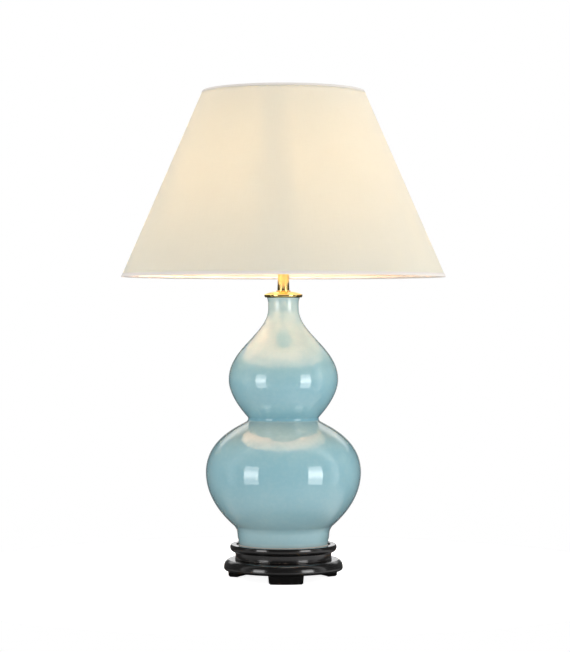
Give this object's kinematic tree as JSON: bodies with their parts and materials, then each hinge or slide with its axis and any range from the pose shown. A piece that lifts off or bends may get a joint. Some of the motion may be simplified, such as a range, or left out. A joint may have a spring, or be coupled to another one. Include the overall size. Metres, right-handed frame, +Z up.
{
  "type": "double gourd table lamp",
  "caption": "Mains table lamp: a glazed double gourd vase on a black wooden stand with feet, a brass lampholder and a tall pale empire shade on a wire carrier.",
  "frame": {"origin": "on the lamp's axis, at the level of the surface it stands on", "axes": "+Z up along the lamp's axis; the front with the middle foot faces -Y; +X to the right; the cord's inlet is at the back, +Y"},
  "size_m": [0.5088, 0.5088, 0.7649],
  "materials": {
    "felt": "soft felt",
    "black_wood": "ebonised, polished",
    "steel": "zinc plated",
    "black_nylon": "satin",
    "cork": "matt cork",
    "glaze": "glossy glaze",
    "black_rubber": "matt",
    "pale_plastic": "moulded",
    "brass": "polished and lacquered",
    "phenolic": "moulded",
    "bulb_glass": "frosted",
    "bulb_metal": "pressed",
    "clear_glass": "clear",
    "filament": "glowing",
    "white_metal": "white gloss paint",
    "shade_cloth": "fine cloth, laminated",
    "shade_lining": "smooth white lining",
    "shade_trim": "narrow woven edge"
  },
  "bodies": {
    "lamp": {"felt_pads": "felt", "stand_apron": "black_wood", "apron_screws": "steel", "stand_waist": "black_wood", "waist_screws": "steel", "stand_plate": "black_wood", "cord_bush": "black_nylon", "vase_seat_ring": "cork", "gourd_vase": "glaze", "base_hole_bush": "black_rubber", "threaded_rod": "steel", "base_washer": "steel", "spring_washer": "steel", "rod_nut": "steel", "neck_plug": "pale_plastic", "neck_gasket": "black_rubber", "neck_cap": "brass", "cap_boss": "brass", "stem_tube": "brass", "holder_cap": "brass", "grub_screw": "steel", "lock_nut": "steel", "holder_body": "brass", "switch_block": "phenolic", "terminal_screws": "brass", "holder_liner": "phenolic", "screw_shell": "brass", "centre_contact": "brass"},
    "bulb": {"bulb_glass": "bulb_glass", "bulb_cap": "bulb_metal", "bulb_insulator": "phenolic", "bulb_tip": "bulb_metal", "bulb_stem": "clear_glass", "bulb_filament": "filament"},
    "switch": {"switch_bar": "brass"},
    "clamp": {"clamp_ring": "brass"},
    "carrier": {"carrier_base_ring": "brass", "carrier_arms": "brass", "carrier_top_ring": "brass"},
    "shade": {"fitter_ring": "white_metal", "fitter_arms": "white_metal", "shade_top_wire": "white_metal", "shade_bottom_wire": "white_metal", "shade_fabric": "shade_cloth", "shade_lining": "shade_lining", "shade_seam": "shade_cloth", "top_trim": "shade_trim", "bottom_trim": "shade_trim"}
  },
  "joints": [
    {"name": "shade_turn", "type": "hinge", "parent": "lamp", "child": "carrier", "pos_m": [0, 0, 0.5335], "axis": [0, 0, 1], "continuous": true},
    {"name": "shade_lift", "type": "slide", "parent": "carrier", "child": "shade", "axis": [0, 0, 1], "range_m": [0, 0.285]},
    {"name": "bulb_unscrew", "type": "slide", "parent": "lamp", "child": "bulb", "axis": [0, 0, 1], "range_m": [0, 0.12]},
    {"name": "clamp_ring_unscrew", "type": "slide", "parent": "lamp", "child": "clamp", "axis": [0, 0, 1], "range_m": [0, 0.013]},
    {"name": "switch_push", "type": "slide", "parent": "lamp", "child": "switch", "axis": [1, 0, 0], "range_m": [-0.005, 0]}
  ]
}
